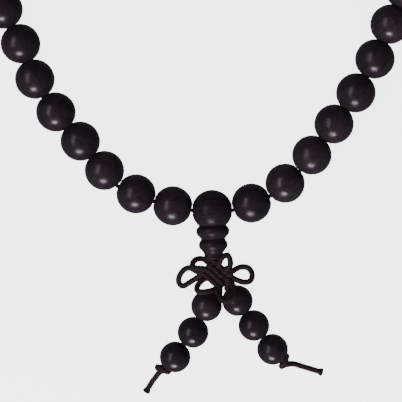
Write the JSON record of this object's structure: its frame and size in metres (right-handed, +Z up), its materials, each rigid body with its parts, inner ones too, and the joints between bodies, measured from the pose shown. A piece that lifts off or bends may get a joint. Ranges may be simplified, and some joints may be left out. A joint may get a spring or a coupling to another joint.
{
  "type": "mala prayer beads",
  "caption": "Closed string of round dark wooden beads with a three-hole guru bead, a turned tower bead, a woven knot with cord loops and two short beaded strands.",
  "frame": {"origin": "the point where the guru bead rests on the surface that the mala lies on", "axes": "+Z up from the surface; +Y from the guru bead up through the loop; the pendant lies along -Y"},
  "size_m": [0.1328, 0.4287, 0.0083],
  "materials": {
    "bead_wood": "satin",
    "strand_bead_wood": "satin",
    "guru_wood": "satin",
    "string": "matte",
    "knot_cord": "matte"
  },
  "bodies": {
    "root": {"guru_bead": "guru_wood", "main_string": "string"},
    "bead_right_01": {"bead_right_01": "bead_wood"},
    "bead_right_02": {"bead_right_02": "bead_wood"},
    "bead_right_03": {"bead_right_03": "bead_wood"},
    "bead_right_04": {"bead_right_04": "bead_wood"},
    "bead_right_05": {"bead_right_05": "bead_wood"},
    "bead_right_06": {"bead_right_06": "bead_wood"},
    "bead_right_07": {"bead_right_07": "bead_wood"},
    "bead_right_08": {"bead_right_08": "bead_wood"},
    "bead_right_09": {"bead_right_09": "bead_wood"},
    "bead_right_10": {"bead_right_10": "bead_wood"},
    "beads_right_11_to_14": {"beads_right_11_to_14": "bead_wood"},
    "beads_right_15_to_18": {"beads_right_15_to_18": "bead_wood"},
    "beads_right_19_to_22": {"beads_right_19_to_22": "bead_wood"},
    "beads_right_23_to_26": {"beads_right_23_to_26": "bead_wood"},
    "beads_right_27_to_30": {"beads_right_27_to_30": "bead_wood"},
    "beads_right_31_to_34": {"beads_right_31_to_34": "bead_wood"},
    "beads_right_35_to_38": {"beads_right_35_to_38": "bead_wood"},
    "beads_right_39_to_42": {"beads_right_39_to_42": "bead_wood"},
    "beads_right_43_to_46": {"beads_right_43_to_46": "bead_wood"},
    "beads_right_47_to_50": {"beads_right_47_to_50": "bead_wood"},
    "beads_right_51_to_54": {"beads_right_51_to_54": "bead_wood"},
    "bead_left_01": {"bead_left_01": "bead_wood"},
    "bead_left_02": {"bead_left_02": "bead_wood"},
    "bead_left_03": {"bead_left_03": "bead_wood"},
    "bead_left_04": {"bead_left_04": "bead_wood"},
    "bead_left_05": {"bead_left_05": "bead_wood"},
    "bead_left_06": {"bead_left_06": "bead_wood"},
    "bead_left_07": {"bead_left_07": "bead_wood"},
    "bead_left_08": {"bead_left_08": "bead_wood"},
    "bead_left_09": {"bead_left_09": "bead_wood"},
    "bead_left_10": {"bead_left_10": "bead_wood"},
    "beads_left_11_to_14": {"beads_left_11_to_14": "bead_wood"},
    "beads_left_15_to_18": {"beads_left_15_to_18": "bead_wood"},
    "beads_left_19_to_22": {"beads_left_19_to_22": "bead_wood"},
    "beads_left_23_to_26": {"beads_left_23_to_26": "bead_wood"},
    "beads_left_27_to_30": {"beads_left_27_to_30": "bead_wood"},
    "beads_left_31_to_34": {"beads_left_31_to_34": "bead_wood"},
    "beads_left_35_to_38": {"beads_left_35_to_38": "bead_wood"},
    "beads_left_39_to_42": {"beads_left_39_to_42": "bead_wood"},
    "beads_left_43_to_46": {"beads_left_43_to_46": "bead_wood"},
    "beads_left_47_to_50": {"beads_left_47_to_50": "bead_wood"},
    "beads_left_51_to_53": {"beads_left_51_to_53": "bead_wood"},
    "counting_bead": {"counting_bead": "bead_wood"},
    "pendant": {"knot_body": "knot_cord", "knot_upper_loops": "knot_cord", "knot_side_loops": "knot_cord", "knot_lower_loops": "knot_cord"},
    "tower": {"guru_tower": "guru_wood"},
    "left_strand": {"left_strand_cord": "knot_cord", "left_end_knot": "knot_cord"},
    "left_strand_bead_1": {"left_strand_bead_1": "strand_bead_wood"},
    "left_strand_bead_2": {"left_strand_bead_2": "strand_bead_wood"},
    "left_strand_bead_3": {"left_strand_bead_3": "strand_bead_wood"},
    "right_strand": {"right_strand_cord": "knot_cord", "right_end_knot": "knot_cord"},
    "right_strand_bead_1": {"right_strand_bead_1": "strand_bead_wood"},
    "right_strand_bead_2": {"right_strand_bead_2": "strand_bead_wood"},
    "right_strand_bead_3": {"right_strand_bead_3": "strand_bead_wood"}
  },
  "joints": [
    {"name": "loop_open", "type": "hinge", "parent": "root", "child": "bead_right_01", "pos_m": [0.00426, 0, 0.004], "axis": [0, 0, 1], "range_deg": [-0.98, 0.98], "deforming": ["main_string"]},
    {"name": "right_02_flex", "type": "hinge", "parent": "bead_right_01", "child": "bead_right_02", "pos_m": [0.01192, 0.00294, 0.004], "axis": [0, 0, 1], "range_deg": [-0.99, 0.99]},
    {"name": "right_03_flex", "type": "hinge", "parent": "bead_right_02", "child": "bead_right_03", "pos_m": [0.01815, 0.00816, 0.004], "axis": [0, 0, 1], "range_deg": [-0.96, 0.96]},
    {"name": "right_04_flex", "type": "hinge", "parent": "bead_right_03", "child": "bead_right_04", "pos_m": [0.02294, 0.01453, 0.004], "axis": [0, 0, 1], "range_deg": [-0.92, 0.92]},
    {"name": "right_05_flex", "type": "hinge", "parent": "bead_right_04", "child": "bead_right_05", "pos_m": [0.02734, 0.02105, 0.004], "axis": [0, 0, 1], "range_deg": [-0.87, 0.87]},
    {"name": "right_06_flex", "type": "hinge", "parent": "bead_right_05", "child": "bead_right_06", "pos_m": [0.03202, 0.02749, 0.004], "axis": [0, 0, 1], "range_deg": [-0.81, 0.81]},
    {"name": "right_07_flex", "type": "hinge", "parent": "bead_right_06", "child": "bead_right_07", "pos_m": [0.03513, 0.03481, 0.004], "axis": [0, 0, 1], "range_deg": [-0.74, 0.74]},
    {"name": "right_08_flex", "type": "hinge", "parent": "bead_right_07", "child": "bead_right_08", "pos_m": [0.03832, 0.04197, 0.004], "axis": [0, 0, 1], "range_deg": [-0.66, 0.66]},
    {"name": "right_09_flex", "type": "hinge", "parent": "bead_right_08", "child": "bead_right_09", "pos_m": [0.04138, 0.0492, 0.004], "axis": [0, 0, 1], "range_deg": [-0.56, 0.56]},
    {"name": "right_10_flex", "type": "hinge", "parent": "bead_right_09", "child": "bead_right_10", "pos_m": [0.0441, 0.05658, 0.004], "axis": [0, 0, 1], "range_deg": [-0.46709, 0.46709]},
    {"name": "right_11_flex", "type": "hinge", "parent": "bead_right_10", "child": "beads_right_11_to_14", "pos_m": [0.0465, 0.06406, 0.004], "axis": [0, 0, 1], "range_deg": [-0.7, 0.7]},
    {"name": "right_15_flex", "type": "hinge", "parent": "beads_right_11_to_14", "child": "beads_right_15_to_18", "pos_m": [0.05376, 0.09459, 0.004], "axis": [0, 0, 1], "range_deg": [-0.33982, 0.33982]},
    {"name": "right_19_flex", "type": "hinge", "parent": "beads_right_15_to_18", "child": "beads_right_19_to_22", "pos_m": [0.05825, 0.12561, 0.004], "axis": [0, 0, 1], "range_deg": [-2.05, 2.05]},
    {"name": "right_23_flex", "type": "hinge", "parent": "beads_right_19_to_22", "child": "beads_right_23_to_26", "pos_m": [0.06079, 0.15684, 0.004], "axis": [0, 0, 1], "range_deg": [-3.34, 3.34]},
    {"name": "right_27_flex", "type": "hinge", "parent": "beads_right_23_to_26", "child": "beads_right_27_to_30", "pos_m": [0.06178, 0.18814, 0.004], "axis": [0, 0, 1], "range_deg": [-3.95, 3.95]},
    {"name": "right_31_flex", "type": "hinge", "parent": "beads_right_27_to_30", "child": "beads_right_31_to_34", "pos_m": [0.06146, 0.21945, 0.004], "axis": [0, 0, 1], "range_deg": [-3.74, 3.74]},
    {"name": "right_35_flex", "type": "hinge", "parent": "beads_right_31_to_34", "child": "beads_right_35_to_38", "pos_m": [0.05973, 0.25072, 0.004], "axis": [0, 0, 1], "range_deg": [-2.77, 2.77]},
    {"name": "right_39_flex", "type": "hinge", "parent": "beads_right_35_to_38", "child": "beads_right_39_to_42", "pos_m": [0.05629, 0.28187, 0.004], "axis": [0, 0, 1], "range_deg": [-1.23, 1.23]},
    {"name": "right_43_flex", "type": "hinge", "parent": "beads_right_39_to_42", "child": "beads_right_43_to_46", "pos_m": [0.05055, 0.3127, 0.004], "axis": [0, 0, 1], "range_deg": [-0.57, 0.57]},
    {"name": "right_47_flex", "type": "hinge", "parent": "beads_right_43_to_46", "child": "beads_right_47_to_50", "pos_m": [0.04138, 0.34273, 0.004], "axis": [0, 0, 1], "range_deg": [-2.24, 2.24]},
    {"name": "right_51_flex", "type": "hinge", "parent": "beads_right_47_to_50", "child": "beads_right_51_to_54", "pos_m": [0.02618, 0.37031, 0.004], "axis": [0, 0, 1], "range_deg": [-3.46, 3.46]},
    {"name": "left_01_flex", "type": "hinge", "parent": "root", "child": "bead_left_01", "pos_m": [-0.00418, 0, 0.004], "axis": [0, 0, 1], "range_deg": [-1, 1]},
    {"name": "left_02_flex", "type": "hinge", "parent": "bead_left_01", "child": "bead_left_02", "pos_m": [-0.01201, 0.00181, 0.004], "axis": [0, 0, 1], "range_deg": [-0.99, 0.99]},
    {"name": "left_03_flex", "type": "hinge", "parent": "bead_left_02", "child": "bead_left_03", "pos_m": [-0.01954, 0.005, 0.004], "axis": [0, 0, 1], "range_deg": [-0.96, 0.96]},
    {"name": "left_04_flex", "type": "hinge", "parent": "bead_left_03", "child": "bead_left_04", "pos_m": [-0.02474, 0.0112, 0.004], "axis": [0, 0, 1], "range_deg": [-0.92, 0.92]},
    {"name": "left_05_flex", "type": "hinge", "parent": "bead_left_04", "child": "bead_left_05", "pos_m": [-0.02968, 0.0173, 0.004], "axis": [0, 0, 1], "range_deg": [-0.87, 0.87]},
    {"name": "left_06_flex", "type": "hinge", "parent": "bead_left_05", "child": "bead_left_06", "pos_m": [-0.03493, 0.02334, 0.004], "axis": [0, 0, 1], "range_deg": [-0.81, 0.81]},
    {"name": "left_07_flex", "type": "hinge", "parent": "bead_left_06", "child": "bead_left_07", "pos_m": [-0.03819, 0.03066, 0.004], "axis": [0, 0, 1], "range_deg": [-0.74, 0.74]},
    {"name": "left_08_flex", "type": "hinge", "parent": "bead_left_07", "child": "bead_left_08", "pos_m": [-0.04092, 0.03817, 0.004], "axis": [0, 0, 1], "range_deg": [-0.66, 0.66]},
    {"name": "left_09_flex", "type": "hinge", "parent": "bead_left_08", "child": "bead_left_09", "pos_m": [-0.04546, 0.04489, 0.004], "axis": [0, 0, 1], "range_deg": [-0.56, 0.56]},
    {"name": "left_10_flex", "type": "hinge", "parent": "bead_left_09", "child": "bead_left_10", "pos_m": [-0.04785, 0.05252, 0.004], "axis": [0, 0, 1], "range_deg": [-0.46709, 0.46709]},
    {"name": "left_11_flex", "type": "hinge", "parent": "bead_left_10", "child": "beads_left_11_to_14", "pos_m": [-0.04994, 0.0601, 0.004], "axis": [0, 0, 1], "range_deg": [-0.7, 0.7]},
    {"name": "left_15_flex", "type": "hinge", "parent": "beads_left_11_to_14", "child": "beads_left_15_to_18", "pos_m": [-0.05617, 0.09083, 0.004], "axis": [0, 0, 1], "range_deg": [-0.33982, 0.33982]},
    {"name": "left_19_flex", "type": "hinge", "parent": "beads_left_15_to_18", "child": "beads_left_19_to_22", "pos_m": [-0.06002, 0.12193, 0.004], "axis": [0, 0, 1], "range_deg": [-2.05, 2.05]},
    {"name": "left_23_flex", "type": "hinge", "parent": "beads_left_19_to_22", "child": "beads_left_23_to_26", "pos_m": [-0.06219, 0.15318, 0.004], "axis": [0, 0, 1], "range_deg": [-3.34, 3.34]},
    {"name": "left_27_flex", "type": "hinge", "parent": "beads_left_23_to_26", "child": "beads_left_27_to_30", "pos_m": [-0.06303, 0.18448, 0.004], "axis": [0, 0, 1], "range_deg": [-3.95, 3.95]},
    {"name": "left_31_flex", "type": "hinge", "parent": "beads_left_27_to_30", "child": "beads_left_31_to_34", "pos_m": [-0.06276, 0.21578, 0.004], "axis": [0, 0, 1], "range_deg": [-3.74, 3.74]},
    {"name": "left_35_flex", "type": "hinge", "parent": "beads_left_31_to_34", "child": "beads_left_35_to_38", "pos_m": [-0.06129, 0.24706, 0.004], "axis": [0, 0, 1], "range_deg": [-2.77, 2.77]},
    {"name": "left_39_flex", "type": "hinge", "parent": "beads_left_35_to_38", "child": "beads_left_39_to_42", "pos_m": [-0.05834, 0.27825, 0.004], "axis": [0, 0, 1], "range_deg": [-1.23, 1.23]},
    {"name": "left_43_flex", "type": "hinge", "parent": "beads_left_39_to_42", "child": "beads_left_43_to_46", "pos_m": [-0.05342, 0.30921, 0.004], "axis": [0, 0, 1], "range_deg": [-0.57, 0.57]},
    {"name": "left_47_flex", "type": "hinge", "parent": "beads_left_43_to_46", "child": "beads_left_47_to_50", "pos_m": [-0.0455, 0.33958, 0.004], "axis": [0, 0, 1], "range_deg": [-2.24, 2.24]},
    {"name": "left_51_flex", "type": "hinge", "parent": "beads_left_47_to_50", "child": "beads_left_51_to_53", "pos_m": [-0.03206, 0.36806, 0.004], "axis": [0, 0, 1], "range_deg": [-2.98, 2.98]},
    {"name": "counting_bead_slide", "type": "slide", "parent": "beads_left_51_to_53", "child": "counting_bead", "axis": [0.9789, 0.2045, 0], "range_m": [0, 0.0055]},
    {"name": "pendant_swing", "type": "hinge", "parent": "root", "child": "pendant", "pos_m": [0, 0, 0.00415], "axis": [0, 0, 1], "range_deg": [-15, 15]},
    {"name": "tower_spin", "type": "hinge", "parent": "pendant", "child": "tower", "pos_m": [0.00019, -0.006, 0.00415], "axis": [-0.0314, 0.9995, 0], "continuous": true},
    {"name": "left_strand_swing", "type": "hinge", "parent": "pendant", "child": "left_strand", "pos_m": [0.00036, -0.01658, 0.0034], "axis": [0, 0, 1], "range_deg": [-18, 0], "deforming": ["knot_lower_loops"]},
    {"name": "left_strand_bead_1_spin", "type": "hinge", "parent": "left_strand", "child": "left_strand_bead_1", "pos_m": [-0.00115, -0.0198, 0.00313], "axis": [-0.4384, -0.8988, 0], "continuous": true},
    {"name": "left_strand_bead_2_spin", "type": "hinge", "parent": "left_strand", "child": "left_strand_bead_2", "pos_m": [-0.00395, -0.02529, 0.00313], "axis": [-0.4695, -0.8829, 0], "continuous": true},
    {"name": "left_strand_bead_3_spin", "type": "hinge", "parent": "left_strand", "child": "left_strand_bead_3", "pos_m": [-0.00766, -0.0304, 0.00313], "axis": [-0.6947, -0.7193, 0], "continuous": true},
    {"name": "right_strand_swing", "type": "hinge", "parent": "pendant", "child": "right_strand", "pos_m": [0.00285, -0.0154, 0.0034], "axis": [0, 0, 1], "range_deg": [0, 7], "deforming": ["knot_lower_loops"]},
    {"name": "right_strand_bead_1_spin", "type": "hinge", "parent": "right_strand", "child": "right_strand_bead_1", "pos_m": [0.00525, -0.01872, 0.00313], "axis": [0.5736, -0.8192, 0], "continuous": true},
    {"name": "right_strand_bead_2_spin", "type": "hinge", "parent": "right_strand", "child": "right_strand_bead_2", "pos_m": [0.00866, -0.02387, 0.00313], "axis": [0.5299, -0.848, 0], "continuous": true},
    {"name": "right_strand_bead_3_spin", "type": "hinge", "parent": "right_strand", "child": "right_strand_bead_3", "pos_m": [0.01252, -0.02882, 0.00313], "axis": [0.6947, -0.7193, 0], "continuous": true}
  ],
  "couplings": [
    {"joint": "right_02_flex", "follows": "loop_open", "ratio": 0.98696},
    {"joint": "right_03_flex", "follows": "loop_open", "ratio": 0.96106},
    {"joint": "right_04_flex", "follows": "loop_open", "ratio": 0.92263},
    {"joint": "right_05_flex", "follows": "loop_open", "ratio": 0.87217},
    {"joint": "right_06_flex", "follows": "loop_open", "ratio": 0.81034},
    {"joint": "right_07_flex", "follows": "loop_open", "ratio": 0.73794},
    {"joint": "right_08_flex", "follows": "loop_open", "ratio": 0.65593},
    {"joint": "right_09_flex", "follows": "loop_open", "ratio": 0.56537},
    {"joint": "right_10_flex", "follows": "loop_open", "ratio": 0.46743},
    {"joint": "right_11_flex", "follows": "loop_open", "ratio": 0.70347},
    {"joint": "right_15_flex", "follows": "loop_open", "ratio": -0.34007},
    {"joint": "right_19_flex", "follows": "loop_open", "ratio": -2.0521},
    {"joint": "right_23_flex", "follows": "loop_open", "ratio": -3.3431},
    {"joint": "right_27_flex", "follows": "loop_open", "ratio": -3.948},
    {"joint": "right_31_flex", "follows": "loop_open", "ratio": -3.7428},
    {"joint": "right_35_flex", "follows": "loop_open", "ratio": -2.7696},
    {"joint": "right_39_flex", "follows": "loop_open", "ratio": -1.228},
    {"joint": "right_43_flex", "follows": "loop_open", "ratio": 0.56555},
    {"joint": "right_47_flex", "follows": "loop_open", "ratio": 2.2431},
    {"joint": "right_51_flex", "follows": "loop_open", "ratio": 3.4603},
    {"joint": "left_01_flex", "follows": "loop_open", "ratio": -1},
    {"joint": "left_02_flex", "follows": "loop_open", "ratio": -0.98696},
    {"joint": "left_03_flex", "follows": "loop_open", "ratio": -0.96106},
    {"joint": "left_04_flex", "follows": "loop_open", "ratio": -0.92263},
    {"joint": "left_05_flex", "follows": "loop_open", "ratio": -0.87217},
    {"joint": "left_06_flex", "follows": "loop_open", "ratio": -0.81034},
    {"joint": "left_07_flex", "follows": "loop_open", "ratio": -0.73794},
    {"joint": "left_08_flex", "follows": "loop_open", "ratio": -0.65593},
    {"joint": "left_09_flex", "follows": "loop_open", "ratio": -0.56537},
    {"joint": "left_10_flex", "follows": "loop_open", "ratio": -0.46743},
    {"joint": "left_11_flex", "follows": "loop_open", "ratio": -0.70347},
    {"joint": "left_15_flex", "follows": "loop_open", "ratio": 0.34007},
    {"joint": "left_19_flex", "follows": "loop_open", "ratio": 2.0521},
    {"joint": "left_23_flex", "follows": "loop_open", "ratio": 3.3431},
    {"joint": "left_27_flex", "follows": "loop_open", "ratio": 3.948},
    {"joint": "left_31_flex", "follows": "loop_open", "ratio": 3.7428},
    {"joint": "left_35_flex", "follows": "loop_open", "ratio": 2.7696},
    {"joint": "left_39_flex", "follows": "loop_open", "ratio": 1.228},
    {"joint": "left_43_flex", "follows": "loop_open", "ratio": -0.56555},
    {"joint": "left_47_flex", "follows": "loop_open", "ratio": -2.2431},
    {"joint": "left_51_flex", "follows": "loop_open", "ratio": -2.9838}
  ]
}
